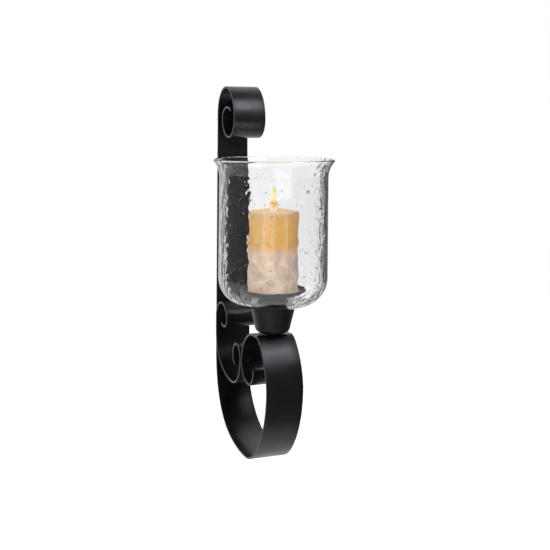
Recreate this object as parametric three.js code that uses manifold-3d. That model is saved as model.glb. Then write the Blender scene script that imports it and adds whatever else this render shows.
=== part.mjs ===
// Wall sconce candle holder: a scrolled flat-bar bracket, a cup on its front scroll, a clear
// hurricane shade standing in the cup, and a pillar candle on a pedestal pan inside the shade.
//
// Units are millimetres and +Z is up. The wall is the plane y = 0 and the sconce stands in front
// of it, towards -Y. The origin is the keyhole that the sconce hangs by, on the wall face of the
// strap, so a "depth" below is -y and a "height" is z.
import * as THREE from 'three';
import { mergeVertices } from 'three/addons/utils/BufferGeometryUtils.js';
import Module from 'manifold-3d';

const wasm = await Module();
wasm.setup();

// ---- driving dimensions -------------------------------------------------------------------
const OVERALL_HEIGHT = 533.4;
const TOP = 60;                       // highest point, above the keyhole
const BOTTOM = TOP - OVERALL_HEIGHT;
const GAP = 0.3;                      // between pieces that touch or pass through each other

const BAR_THICKNESS = 3;
const BAND_WIDTH = 47.3;              // at the top scroll
const LOOP_WIDTH = 54.5;              // the band grows evenly to this at the bottom of the loop
const TAPER = { length: 500, perDepth: 0.9 };   // the growth follows height and, less, depth
const BRACE_WIDTH = 55;
const HALF_BAR = BAR_THICKNESS / 2;
const ARC_STEPS = 11;                 // straight steps in each quarter turn of a bar
const CORNER_STEPS = 7;               // and in each large corner of the shade
const EDGE_STEPS = 4;                 // and in each small corner, lip or flare
const CUT_PAST = 1;                   // a cutter runs this far past the face that it opens
const ROUND = 0.5523;                 // handle length that makes a quarter turn an ellipse

const AXIS_DEPTH = 168;               // wall to the axis of cup, shade, pan and candle
const SEAT_HEIGHT = -283.5;           // top of the front scroll, where the cup is bolted
const SEAT_FLAT = 12;                 // length of the flat at the top of the front scroll
const STRAP_RIVET_HEIGHT = -302;
const SCROLL_RIVET_HEIGHT = -333;     // where brace and front scroll meet back to back
const SCROLL_JOINT_DEPTH = 113.75;
const SCROLL_JOINT_GAP = 0.5;

const CUP = { height: 38, topRadius: 31.4, waistRadius: 25, waistHeight: 9.5, footRadius: 14.5 };
const CUP_WALL = 1.8;
const SPACER = { radius: 9.5, thickness: 1.5 };
const SCREW = { radius: 2.5, headRadius: 5.2, headHeight: 2.6, headEdge: 1, slotWidth: 1.2,
  slotDepth: 1.2 };
const LOWER_WASHER = { radius: 5.6, thickness: 1.2 };
const NUT = { acrossFlats: 8.2, height: 4.4 };
const SCREW_END = 2.5;                // screw showing past the nut
const GASKET = { innerRadius: 27.4, outerRadius: 31, thickness: 0.9 };

const SHADE_HEIGHT = 202;             // from the seat on the gasket to the rim
const SHADE_WALL = 3;
const RIM_RADIUS = 83;
const FLARE_HEIGHT = 24;
const LIP_RADIUS = 2;
const SHADE_TOP_RADIUS = 74.4;
const SHADE_BELLY_RADIUS = 75.8;
const SHADE_CORNER_HEIGHT = 40;
const SHADE_FLAT_RADIUS = 38;
const NECK = { outerRadius: 24.5, innerRadius: 21.5, length: 8.5 };

const PAN = { radius: 46, floorRadius: 39, height: 7.5, wall: 1.6, roll: 1.5, flare: 2 };
const PAN_FLOOR_ABOVE_SHADE_SEAT = 15.6;   // underside of the pan, above the shade's seat
const STEM = { topRadius: 20.3, neckRadius: 19.6, topTaper: 2, pegRadius: 10.5, pegTaper: 5,
  boreRadius: 7.2, boreDepth: 8, boreTaper: 3 };
const PAN_SCREW = { radius: 2.2, headRadius: 4.2, length: 12 };

const CANDLE = { height: 114, topRadius: 34.2, bottomRadius: 36.2, footEdge: 1, edge: 2, rimWidth: 10,
  pool: 2.5 };
const WICK = { radius: 1.3, above: 9 };

const RIVET = { radius: 2.4, headRadius: 4.8, headHeight: 1.7, spread: 14 };
const DOME = { startAngle: 25, steps: 3 };   // a rivet head's curve, in degrees above its rim
const TAIL = { radius: 3.9, inset: 0.2, taper: 1.7 };   // flush tail of a rivet at the wall face
const KEYHOLE = { entryRadius: 4.6, slotRadius: 2.4, drop: 8 };
const ROUND_STEPS = 40;               // sides of the cup, shade, pan and candle
const SMALL_STEPS = 16;               // sides of rivets, screws and washers

// ---- heights that follow from them --------------------------------------------------------
const cupBase = SEAT_HEIGHT + GAP + SPACER.thickness + GAP;
const cupTop = cupBase + CUP.height;
const shadeSeat = cupTop + GAP + GASKET.thickness + GAP;
const panBase = shadeSeat + PAN_FLOOR_ABOVE_SHADE_SEAT;
const candleBase = panBase + PAN.wall + GAP;

// ---- outlines of the bent bars ------------------------------------------------------------
// Each row is a place where the bar's centre line runs upright or level: [depth, height], then,
// where a turn is fuller or flatter than an ellipse, the two handle lengths of the turn that
// arrives there. Rows that share a depth or a height are joined by a straight run.
const STRAP_DEPTH = HALF_BAR;
const JOINT_HALF = HALF_BAR + SCROLL_JOINT_GAP / 2;
const BAND_ROUTE = [
  [57, 24],
  [41, 29.5],
  [22.5, 14],
  [49.5, -13.2],
  [74.2, 13],
  [36, TOP - HALF_BAR],
  [STRAP_DEPTH, 18],
  [STRAP_DEPTH, -338],
  [134, BOTTOM + HALF_BAR, 0.6, 0.72],
  [214.5, -355, 0.5, 0.5],
  [AXIS_DEPTH + SEAT_FLAT / 2, SEAT_HEIGHT - HALF_BAR, 0.45, 0.35],
  [AXIS_DEPTH - SEAT_FLAT / 2, SEAT_HEIGHT - HALF_BAR],
  [SCROLL_JOINT_DEPTH + JOINT_HALF, SCROLL_RIVET_HEIGHT],
  [144, -360.5],
  [163.5, -336],
];

const BRACE_BACK_DEPTH = BAR_THICKNESS + GAP + HALF_BAR;
const BRACE_ROUTE = [
  [29, -294],
  [40, -297.5],
  [53.5, -284],
  [30, -263],
  [BRACE_BACK_DEPTH, -290],
  [BRACE_BACK_DEPTH, -314],
  [76, -374.5],
  [SCROLL_JOINT_DEPTH - JOINT_HALF, SCROLL_RIVET_HEIGHT],
  [95, -312.5],
  [81.5, -329],
  [88, -343.5],
];

// Centre line of a bar through its route. The first turn leaves its start upright.
function centreLine(route) {
  const line = new THREE.CurvePath();
  let upright = true;
  for (let i = 1; i < route.length; i += 1) {
    const [d0, h0] = route[i - 1];
    const [d1, h1, leave = ROUND, arrive = ROUND] = route[i];
    const from = new THREE.Vector2(d0, h0);
    const to = new THREE.Vector2(d1, h1);
    if (d0 === d1 || h0 === h1) {
      line.add(new THREE.LineCurve(from, to));
      continue;
    }
    const across = d1 - d0;
    const rise = h1 - h0;
    const handles = upright
      ? [new THREE.Vector2(d0, h0 + leave * rise), new THREE.Vector2(d1 - arrive * across, h1)]
      : [new THREE.Vector2(d0 + leave * across, h0), new THREE.Vector2(d1, h1 - arrive * rise)];
    line.add(new THREE.CubicBezierCurve(from, ...handles, to));
    upright = !upright;
  }
  return line;
}

// Points of the centre line with their unit normals: quarter turns in steps, straight runs whole.
function stations(line) {
  const list = [];
  line.curves.forEach((curve, index) => {
    const steps = curve instanceof THREE.LineCurve ? 1 : ARC_STEPS;
    for (let i = index === 0 ? 0 : 1; i <= steps; i += 1) {
      const tangent = curve.getTangent(i / steps);
      list.push({
        point: curve.getPoint(i / steps),
        normal: new THREE.Vector2(-tangent.y, tangent.x),
      });
    }
  });
  return list;
}

// Flat bar bent along its route, extruded across its width and stood up in front of the wall. Its
// width grows evenly to the end width with the distance down and out from the origin.
function bentBar(route, width, endWidth = width) {
  const side = (sign) => ({ point, normal }) => point.clone().addScaledVector(normal, sign * HALF_BAR);
  const list = stations(centreLine(route));
  const outline = [...list.map(side(1)), ...list.map(side(-1)).reverse()];
  const geometry = new THREE.ExtrudeGeometry(new THREE.Shape(outline), {
    depth: width,
    bevelEnabled: false,
  });
  geometry.translate(0, 0, -width / 2);
  const position = geometry.attributes.position;
  for (let i = 0; i < position.count; i += 1) {
    const travelled = TAPER.perDepth * position.getX(i) - position.getY(i);
    const share = THREE.MathUtils.clamp(travelled / TAPER.length, 0, 1);
    position.setZ(i, position.getZ(i) * THREE.MathUtils.lerp(1, endWidth / width, share));
  }
  const standing = new THREE.Matrix4().makeBasis(
    new THREE.Vector3(0, -1, 0),
    new THREE.Vector3(0, 0, 1),
    new THREE.Vector3(-1, 0, 0),
  );
  return geometry.applyMatrix4(standing);
}

// ---- helpers ------------------------------------------------------------------------------
// Solid turned about the vertical axis from [radius, height] rows, listed so that the profile
// runs anticlockwise. A profile that leaves the axis is closed back onto its first row.
function turned(rows, steps = ROUND_STEPS) {
  const onAxis = rows[0][0] === 0 && rows[rows.length - 1][0] === 0;
  const closed = onAxis ? rows : [...rows, rows[0]];
  const geometry = new THREE.LatheGeometry(closed.map(([r, h]) => new THREE.Vector2(r, h)), steps);
  return geometry.rotateX(Math.PI / 2);
}

// Rows of a quarter or part ellipse about [radius, height], from one angle to another in degrees.
function arc([radius, height], [width, rise], from, to, steps) {
  return Array.from({ length: steps + 1 }, (_, i) => {
    const angle = THREE.MathUtils.degToRad(from + ((to - from) * i) / steps);
    return [radius + width * Math.cos(angle), height + rise * Math.sin(angle)];
  });
}

const ring = (inner, outer, thickness, steps) =>
  turned([[inner, 0], [outer, 0], [outer, thickness], [inner, thickness]], steps);

function asManifold(geometry) {
  const bare = geometry.clone();
  bare.deleteAttribute('normal');
  bare.deleteAttribute('uv');
  const merged = mergeVertices(bare, 1e-4);
  return new wasm.Manifold(new wasm.Mesh({
    numProp: 3,
    vertProperties: new Float32Array(merged.attributes.position.array),
    triVerts: new Uint32Array(merged.index.array),
  }));
}

function asGeometry(manifold) {
  const { vertProperties, triVerts } = manifold.getMesh();
  const geometry = new THREE.BufferGeometry();
  geometry.setAttribute('position', new THREE.BufferAttribute(new Float32Array(vertProperties), 3));
  geometry.setIndex(new THREE.BufferAttribute(new Uint32Array(triVerts), 1));
  geometry.computeVertexNormals();
  return geometry;
}

const cut = (geometry, tools) =>
  asGeometry(tools.reduce((solid, tool) => solid.subtract(asManifold(tool)), asManifold(geometry)));

// Geometry turned about the vertical, laid down so that its height becomes depth from the wall.
const alongDepth = (geometry, x, depth, height) =>
  geometry.rotateX(Math.PI / 2).translate(x, -depth, height);

const bar = (radius, from, to, steps = SMALL_STEPS) =>
  turned([[0, from], [radius, from], [radius, to], [0, to]], steps);

// ---- bracket ------------------------------------------------------------------------------
const RIVET_SIDES = { left: -RIVET.spread, right: RIVET.spread };
const RIVET_HOLE = RIVET.radius + GAP;
const DRILL_REACH = 3 * BAR_THICKNESS;

function keyholeCutter() {
  const opening = Math.asin(KEYHOLE.slotRadius / KEYHOLE.entryRadius);
  const shape = new THREE.Shape();
  shape.absarc(0, -KEYHOLE.drop, KEYHOLE.entryRadius, Math.PI / 2 + opening, 2.5 * Math.PI - opening);
  shape.absarc(0, 0, KEYHOLE.slotRadius, 0, Math.PI);
  const geometry = new THREE.ExtrudeGeometry(shape, { depth: 2 * DRILL_REACH, bevelEnabled: false });
  return geometry.translate(0, 0, -DRILL_REACH).rotateX(Math.PI / 2);
}

// Hole for a strap rivet, opened out at the wall face for its flush tail.
function strapDrill(x) {
  const mouth = TAIL.radius + TAIL.taper;
  const profile = [
    [0, -CUT_PAST],
    [mouth, -CUT_PAST],
    [RIVET_HOLE, TAIL.taper + GAP],
    [RIVET_HOLE, DRILL_REACH],
    [0, DRILL_REACH],
  ];
  return alongDepth(turned(profile, SMALL_STEPS), x, 0, STRAP_RIVET_HEIGHT);
}

const scrollDrill = (x) =>
  alongDepth(bar(RIVET_HOLE, -DRILL_REACH, DRILL_REACH), x, SCROLL_JOINT_DEPTH, SCROLL_RIVET_HEIGHT);

const seatDrill = () =>
  bar(SCREW.radius + GAP, -DRILL_REACH, DRILL_REACH).translate(0, -AXIS_DEPTH, SEAT_HEIGHT);

function mainBand() {
  const drills = Object.values(RIVET_SIDES).flatMap((x) => [strapDrill(x), scrollDrill(x)]);
  return cut(bentBar(BAND_ROUTE, BAND_WIDTH, LOOP_WIDTH), [keyholeCutter(), ...drills, seatDrill()]);
}

function braceScroll() {
  const drills = Object.values(RIVET_SIDES).flatMap((x) => [
    alongDepth(bar(RIVET_HOLE, 0, DRILL_REACH), x, 0, STRAP_RIVET_HEIGHT),
    scrollDrill(x),
  ]);
  return cut(bentBar(BRACE_ROUTE, BRACE_WIDTH), drills);
}

// Half profile of a low domed head that sits on the given height.
const dome = (height) => [
  [RIVET.headRadius, height],
  ...arc([0, height], [RIVET.headRadius, RIVET.headHeight], DOME.startAngle, 90, DOME.steps).map(
    ([r, h]) => [r < GAP ? 0 : r, h],
  ),
];

// Rivet through strap and brace: tail flush with the wall, domed head inside the brace.
function strapRivet() {
  const headSeat = BRACE_BACK_DEPTH + HALF_BAR + GAP;
  return turned([
    [0, TAIL.inset],
    [TAIL.radius, TAIL.inset],
    [RIVET.radius, TAIL.inset + TAIL.taper],
    [RIVET.radius, headSeat],
    ...dome(headSeat),
  ], SMALL_STEPS);
}

// Rivet through brace and front scroll, domed at both ends, centred on the joint.
function scrollRivet() {
  const grip = BAR_THICKNESS + 3 * GAP;
  const top = dome(grip);
  const bottom = dome(grip).reverse().map(([r, h]) => [r, -h]);
  return turned([...bottom, [RIVET.radius, -grip], [RIVET.radius, grip], ...top], SMALL_STEPS);
}

// ---- cup and its fixings, heights measured from the cup's base ------------------------------
function cup() {
  const { height, topRadius, waistRadius, waistHeight, footRadius } = CUP;
  const corner = [waistRadius - footRadius, waistHeight];
  const lipHeight = CUP_WALL / 2;
  const outside = [
    ...arc([footRadius, waistHeight], corner, -90, 0, EDGE_STEPS),
    [topRadius, height - lipHeight],
    ...arc([topRadius - lipHeight, height - lipHeight], [lipHeight, lipHeight], 45, 135, EDGE_STEPS / 2),
  ];
  const inside = [
    [topRadius - CUP_WALL, height - lipHeight],
    ...arc([footRadius, waistHeight + CUP_WALL / 2], [corner[0] - CUP_WALL, corner[1] - CUP_WALL / 2],
      0, -90, EDGE_STEPS),
  ];
  const hole = SCREW.radius + GAP;
  return turned([[hole, 0], ...outside, ...inside, [hole, CUP_WALL]]);
}

function cupScrew() {
  const underHead = CUP_WALL + GAP;
  const top = underHead + SCREW.headHeight;
  const stack = cupBase - SEAT_HEIGHT + BAR_THICKNESS + GAP + LOWER_WASHER.thickness + GAP + NUT.height;
  const end = -(stack + SCREW_END);
  const screw = turned([
    [0, end],
    [SCREW.radius - GAP, end],
    [SCREW.radius, end + GAP],
    [SCREW.radius, underHead],
    [SCREW.headRadius, underHead],
    [SCREW.headRadius, top - SCREW.headEdge],
    [SCREW.headRadius - SCREW.headEdge, top],
    [0, top],
  ], SMALL_STEPS);
  const slot = new THREE.BoxGeometry(3 * SCREW.headRadius, SCREW.slotWidth, 2 * SCREW.slotDepth);
  return cut(screw, [slot.translate(0, 0, top)]);
}

function nut() {
  const corners = new THREE.CylinderGeometry(NUT.acrossFlats / Math.sqrt(3),
    NUT.acrossFlats / Math.sqrt(3), NUT.height, 6);
  corners.rotateX(Math.PI / 2).translate(0, 0, NUT.height / 2);
  return cut(corners, [bar(SCREW.radius + GAP, -CUT_PAST, NUT.height + CUT_PAST)]);
}

// ---- shade, heights measured from its seat on the gasket ------------------------------------
function shade() {
  const flareBase = SHADE_HEIGHT - FLARE_HEIGHT;
  const lip = arc([RIM_RADIUS - LIP_RADIUS, SHADE_HEIGHT - LIP_RADIUS], [LIP_RADIUS, LIP_RADIUS],
    -30, 150, EDGE_STEPS);
  const [lipRadius, lipHeight] = lip[0];
  // The flare widens with the square of the way up from the shoulder to the lip.
  const flare = (offset) => Array.from({ length: EDGE_STEPS }, (_, i) => {
    const t = i / EDGE_STEPS;
    return [
      SHADE_TOP_RADIUS + offset + t * t * (lipRadius - SHADE_TOP_RADIUS),
      flareBase + t * (lipHeight - flareBase),
    ];
  });
  const corner = [SHADE_BELLY_RADIUS - SHADE_FLAT_RADIUS, SHADE_CORNER_HEIGHT];
  const innerCorner = [corner[0] - SHADE_WALL, corner[1] - SHADE_WALL];
  const centre = [SHADE_FLAT_RADIUS, SHADE_CORNER_HEIGHT];
  return turned([
    [NECK.innerRadius, -NECK.length],
    [NECK.outerRadius, -NECK.length],
    [NECK.outerRadius, 0],
    ...arc(centre, corner, -90, 0, CORNER_STEPS),
    ...flare(0),
    ...lip,
    ...flare(-SHADE_WALL).reverse(),
    ...arc(centre, innerCorner, 0, -90, CORNER_STEPS),
    [NECK.innerRadius, SHADE_WALL],
  ]);
}

// ---- pan on its pedestal, heights measured from the pan's underside --------------------------
function pan() {
  const { radius, floorRadius, height, wall, roll, flare } = PAN;
  const hole = PAN_SCREW.radius + GAP;
  const sink = PAN_SCREW.headRadius + GAP;
  const rollCentre = [radius - roll, height - roll];
  return turned([
    [hole, 0],
    [floorRadius, 0],
    [radius - flare, flare],
    ...arc(rollCentre, [roll, roll], -30, 210, 2 * EDGE_STEPS),
    [floorRadius, wall],
    [sink, wall],
  ]);
}

// Turned post that carries the pan through the shade's neck down to the floor of the cup.
const stemLength = panBase - GAP - (cupBase + CUP_WALL + GAP);

function panStem() {
  const { topRadius, neckRadius, topTaper, pegRadius, pegTaper, boreRadius, boreDepth, boreTaper } = STEM;
  const neckEnd = -(panBase - cupTop);
  const bore = PAN_SCREW.radius + GAP;
  return turned([
    [boreRadius, -stemLength],
    [pegRadius, -stemLength],
    [pegRadius, neckEnd - NECK.length - pegTaper],
    [neckRadius, neckEnd - NECK.length],
    [neckRadius, -topTaper],
    [topRadius, 0],
    [bore, 0],
    [bore, -stemLength + boreDepth + boreTaper],
    [boreRadius, -stemLength + boreDepth],
  ]);
}

// Countersunk screw from the pan's floor into the post.
function panScrew() {
  return turned([
    [0, -PAN_SCREW.length],
    [PAN_SCREW.radius, -PAN_SCREW.length],
    [PAN_SCREW.radius, 0],
    [PAN_SCREW.headRadius, PAN.wall - GAP / 2],
    [0, PAN.wall - GAP / 2],
  ], SMALL_STEPS);
}

// ---- candle, heights measured from its base --------------------------------------------------
function candle() {
  const { height, topRadius, bottomRadius, footEdge, edge, rimWidth, pool } = CANDLE;
  const bore = WICK.radius + GAP;
  return turned([
    [bore, 0],
    [bottomRadius - footEdge, 0],
    [bottomRadius, footEdge],
    [topRadius, height - edge],
    ...arc([topRadius - edge, height - edge], [edge, edge], 30, 90, EDGE_STEPS),
    [topRadius - rimWidth, height - pool],
    [bore, height - pool],
  ]);
}

const wick = () => bar(WICK.radius, 0, CANDLE.height - CANDLE.pool + WICK.above);

// ---- materials -----------------------------------------------------------------------------
const finish = (color, roughness, metalness, extra = {}) =>
  new THREE.MeshStandardMaterial({ color, roughness, metalness, ...extra });

const blackPaint = () => finish(0x17181b, 0.45, 0.3);
const brass = () => finish(0x9c8748, 0.4, 0.9);
const steel = () => finish(0x8a8d92, 0.35, 0.9);
const felt = () => finish(0x2a2a2c, 0.95, 0);
const clearGlass = () => finish(0xeef1f2, 0.05, 0, { transparent: true, opacity: 0.35 });
const wax = () => finish(0xd2a468, 0.55, 0);
const charredCotton = () => finish(0x1d1712, 0.9, 0);

// ---- assembly ------------------------------------------------------------------------------
const sconce = new THREE.Group();

function place(name, geometry, material, height = 0, depth = AXIS_DEPTH, x = 0) {
  const mesh = new THREE.Mesh(geometry, material);
  mesh.name = name;
  mesh.position.set(x, -depth, height);
  sconce.add(mesh);
  return mesh;
}

place('main_band', mainBand(), blackPaint(), 0, 0);
place('brace_scroll', braceScroll(), blackPaint(), 0, 0);
Object.entries(RIVET_SIDES).forEach(([side, x]) => {
  const strap = place(`strap_rivet_${side}`, strapRivet(), blackPaint(), STRAP_RIVET_HEIGHT, 0, x);
  strap.rotation.x = Math.PI / 2;
  const scroll = place(`scroll_rivet_${side}`, scrollRivet(), blackPaint(), SCROLL_RIVET_HEIGHT,
    SCROLL_JOINT_DEPTH, x);
  scroll.rotation.x = Math.PI / 2;
});

const lowerWasherHeight = SEAT_HEIGHT - BAR_THICKNESS - GAP - LOWER_WASHER.thickness;
place('cup_spacer', ring(SCREW.radius + GAP, SPACER.radius, SPACER.thickness, SMALL_STEPS), brass(),
  SEAT_HEIGHT + GAP);
place('cup', cup(), blackPaint(), cupBase);
place('cup_screw', cupScrew(), steel(), cupBase);
place('cup_screw_washer',
  ring(SCREW.radius + GAP, LOWER_WASHER.radius, LOWER_WASHER.thickness, SMALL_STEPS), steel(),
  lowerWasherHeight);
place('cup_screw_nut', nut(), steel(), lowerWasherHeight - GAP - NUT.height);

place('cup_gasket', ring(GASKET.innerRadius, GASKET.outerRadius, GASKET.thickness), felt(),
  cupTop + GAP);
place('glass_shade', shade(), clearGlass(), shadeSeat);
place('candle_pan', pan(), blackPaint(), panBase);
place('pan_stem', panStem(), blackPaint(), panBase - GAP);
place('pan_screw', panScrew(), steel(), panBase);
place('candle', candle(), wax(), candleBase);
place('wick', wick(), charredCotton(), candleBase);

export default sconce;
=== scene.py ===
"""Wall sconce candle holder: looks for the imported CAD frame.

Metres, +Z up. The wall is the plane y = 0, the sconce stands towards -Y, and the origin is the
keyhole it hangs by. A "depth" is -y and a "height" is z.
"""
import math
import random

import bmesh
import bpy
from mathutils import Euler, Matrix, Vector, noise


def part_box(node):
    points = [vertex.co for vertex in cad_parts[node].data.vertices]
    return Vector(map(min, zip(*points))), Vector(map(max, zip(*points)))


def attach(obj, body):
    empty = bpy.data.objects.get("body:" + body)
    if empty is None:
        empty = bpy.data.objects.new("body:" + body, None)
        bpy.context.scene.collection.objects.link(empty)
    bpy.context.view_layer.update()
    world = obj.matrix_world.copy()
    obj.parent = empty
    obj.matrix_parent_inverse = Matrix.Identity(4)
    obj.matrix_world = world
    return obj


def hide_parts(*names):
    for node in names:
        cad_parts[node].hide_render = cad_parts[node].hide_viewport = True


MM = 0.001
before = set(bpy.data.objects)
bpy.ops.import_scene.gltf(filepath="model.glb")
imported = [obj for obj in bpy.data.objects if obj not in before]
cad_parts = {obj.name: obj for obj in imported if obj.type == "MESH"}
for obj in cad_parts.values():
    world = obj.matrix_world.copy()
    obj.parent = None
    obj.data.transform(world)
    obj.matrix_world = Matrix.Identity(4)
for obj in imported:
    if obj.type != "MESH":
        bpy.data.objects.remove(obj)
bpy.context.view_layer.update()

# ---- driving dimensions, shared with the CAD model --------------------------------------------
BAR_THICKNESS = 3 * MM
# The band grows from one width at the keyhole's height to the other, further down and out.
BAND_WIDTH = 47.3 * MM
LOOP_WIDTH = 54.5 * MM
TAPER_LENGTH, TAPER_PER_DEPTH = 500 * MM, 0.9
BRACE_WIDTH = 55 * MM
GAP = 0.3 * MM
HALF_BAR = BAR_THICKNESS / 2
AXIS_DEPTH = 168 * MM
SEAT_HEIGHT = -283.5 * MM
SEAT_FLAT = 12 * MM
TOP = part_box("main_band")[1].z
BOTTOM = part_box("main_band")[0].z
RIVET_SPREAD = 14 * MM
STRAP_RIVET_HEIGHT = -302 * MM
SCROLL_RIVET_HEIGHT = -333 * MM
# Bezier handle length that makes a quarter turn an ellipse.
ROUND = 0.5523

# Where each bar's centre line runs upright or level: [depth, height] in millimetres, then, where a
# turn isn't an ellipse, the two handle lengths of the turn that arrives there.
STRAP_DEPTH = HALF_BAR / MM
SEAT_LINE = (SEAT_HEIGHT - HALF_BAR) / MM
BAND_ROUTE = [
    [57, 24], [41, 29.5], [22.5, 14], [49.5, -13.2], [74.2, 13], [36, (TOP - HALF_BAR) / MM],
    [STRAP_DEPTH, 18], [STRAP_DEPTH, -338], [134, (BOTTOM + HALF_BAR) / MM, 0.6, 0.72],
    [214.5, -355, 0.5, 0.5], [(AXIS_DEPTH + SEAT_FLAT / 2) / MM, SEAT_LINE, 0.45, 0.35],
    [(AXIS_DEPTH - SEAT_FLAT / 2) / MM, SEAT_LINE], [115.5, -333], [144, -360.5], [163.5, -336],
]
BRACE_BACK = (BAR_THICKNESS + GAP + HALF_BAR) / MM
BRACE_ROUTE = [
    [29, -294], [40, -297.5], [53.5, -284], [30, -263], [BRACE_BACK, -290], [BRACE_BACK, -314],
    [76, -374.5], [112, -333], [95, -312.5], [81.5, -329], [88, -343.5],
]

# The axis of cup, shade, pan and candle, and the heights of what stands on it.
AXIS = Vector((0, -AXIS_DEPTH, 0))
CUP_BASE, CUP_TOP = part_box("cup")[0].z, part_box("cup")[1].z
NECK_LENGTH = 8.5 * MM
SHADE_SEAT, SHADE_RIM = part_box("glass_shade")[0].z + NECK_LENGTH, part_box("glass_shade")[1].z
PAN_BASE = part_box("candle_pan")[0].z
CANDLE_BASE, CANDLE_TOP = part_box("candle")[0].z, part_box("candle")[1].z
WICK_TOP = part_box("wick")[1].z
POOL_DEPTH = 2.5 * MM
WAX_POOL = CANDLE_TOP - POOL_DEPTH


# ---- meshes ------------------------------------------------------------------------------------
def new_object(name, verts, faces, smooth_angle=38):
    """Mesh object from points and faces, smooth except across edges sharper than the angle."""
    mesh = bpy.data.meshes.new(name)
    mesh.from_pydata([tuple(v) for v in verts], [], faces)
    mesh.update()
    obj = bpy.data.objects.new(name, mesh)
    bpy.context.scene.collection.objects.link(obj)
    tidy(obj, smooth_angle)
    return obj


def tidy(obj, smooth_angle=38):
    """Merge doubled points, turn every face outward and set the smooth shading."""
    bm = bmesh.new()
    bm.from_mesh(obj.data)
    bmesh.ops.remove_doubles(bm, verts=bm.verts, dist=1e-7)
    bmesh.ops.recalc_face_normals(bm, faces=bm.faces)
    bm.to_mesh(obj.data)
    bm.free()
    obj.data.shade_smooth()
    obj.data.set_sharp_from_angle(angle=math.radians(smooth_angle))


def cut(obj, tools, smooth_angle=38):
    """Subtract closed tools from a closed object, then delete the tools."""
    for tool in tools:
        modifier = obj.modifiers.new("cut", "BOOLEAN")
        modifier.operation = "DIFFERENCE"
        modifier.solver = "EXACT"
        modifier.object = tool
    depsgraph = bpy.context.evaluated_depsgraph_get()
    mesh = bpy.data.meshes.new_from_object(obj.evaluated_get(depsgraph))
    obj.modifiers.clear()
    obj.data = mesh
    for tool in tools:
        bpy.data.objects.remove(tool)
    tidy(obj, smooth_angle)
    return obj


def bezier(p0, p1, p2, p3, t):
    a, b, c, d = (1 - t) ** 3, 3 * t * (1 - t) ** 2, 3 * t * t * (1 - t), t ** 3
    return p0 * a + p1 * b + p2 * c + p3 * d


def centre_line(route, step=1.4 * MM, samples=200):
    """Evenly spaced [depth, height] points along a route, as vectors in metres."""
    upright = True
    dense = []
    for before, after in zip(route, route[1:]):
        start, end = Vector(before[:2]) * MM, Vector(after[:2]) * MM
        leave, arrive = after[2:] if len(after) > 2 else (ROUND, ROUND)
        across, rise = end.x - start.x, end.y - start.y
        if across == 0 or rise == 0:
            dense += [start.lerp(end, i / samples) for i in range(samples)]
            continue
        if upright:
            h1 = Vector((start.x, start.y + leave * rise))
            h2 = Vector((end.x - arrive * across, end.y))
        else:
            h1 = Vector((start.x + leave * across, start.y))
            h2 = Vector((end.x, end.y - arrive * rise))
        dense += [bezier(start, h1, h2, end, i / samples) for i in range(samples)]
        upright = not upright
    dense.append(Vector(route[-1][:2]) * MM)
    return respaced(dense, step)


def respaced(points, step):
    """The same polyline with points at equal distances, close to the step."""
    lengths = [0.0]
    for a, b in zip(points, points[1:]):
        lengths.append(lengths[-1] + (b - a).length)
    count = max(2, round(lengths[-1] / step))
    result, k = [], 0
    for i in range(count + 1):
        want = lengths[-1] * i / count
        while k < len(lengths) - 2 and lengths[k + 1] < want:
            k += 1
        span = lengths[k + 1] - lengths[k]
        result.append(points[k].lerp(points[k + 1], (want - lengths[k]) / span if span else 0))
    return result


def bar_section(width, inset, edge=0.55 * MM, steps=4, flats=4):
    """Rounded rectangle across a bar as (x, offset along the normal) points, shrunk by inset."""
    half_x, half_n = width / 2 - inset, HALF_BAR - inset
    radius = max(edge - inset, 0.05 * MM)
    points = []
    for sx, sn, start in ((1, 1, 0), (-1, 1, 90), (-1, -1, 180), (1, -1, 270)):
        centre = Vector((sx * (half_x - radius), sn * (half_n - radius)))
        for i in range(steps + 1):
            a = math.radians(start + 90 * i / steps)
            points.append(centre + radius * Vector((math.cos(a), math.sin(a))))
        if sx == sn:
            far = -sx * (half_x - radius)
            near = centre.x
            points += [Vector((near + (far - near) * i / flats, sn * half_n)) for i in range(1, flats)]
    return points


def bent_bar(name, route, width, end_width):
    """Flat bar with eased edges swept along its route, with eased ends, growing to its end width."""
    line = centre_line(route)
    eased = [(0.0, 0.5 * MM), (0.15 * MM, 0.15 * MM), (0.5 * MM, 0.0)]
    first, last = line[0], line[-1]
    out, back = (line[1] - first).normalized(), (line[-2] - last).normalized()
    stations = [(first + out * along, inset, out) for along, inset in eased]
    for i in range(1, len(line) - 1):
        stations.append((line[i], 0.0, (line[i + 1] - line[i - 1]).normalized()))
    stations += [(last + back * along, inset, -back) for along, inset in reversed(eased)]
    verts = []
    for point, inset, tangent in stations:
        normal = Vector((-tangent.y, tangent.x))
        share = min(1, max(0, (TAPER_PER_DEPTH * point.x - point.y) / TAPER_LENGTH))
        for x, n in bar_section(width + (end_width - width) * share, inset):
            where = point + normal * n
            verts.append((x, -where.x, where.y))
    size = len(verts) // len(stations)
    faces = [
        (s * size + i, s * size + (i + 1) % size, (s + 1) * size + (i + 1) % size, (s + 1) * size + i)
        for s in range(len(stations) - 1) for i in range(size)
    ]
    faces += [tuple(range(size)), tuple(range(len(verts) - size, len(verts)))]
    return new_object(name, verts, faces)


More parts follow.
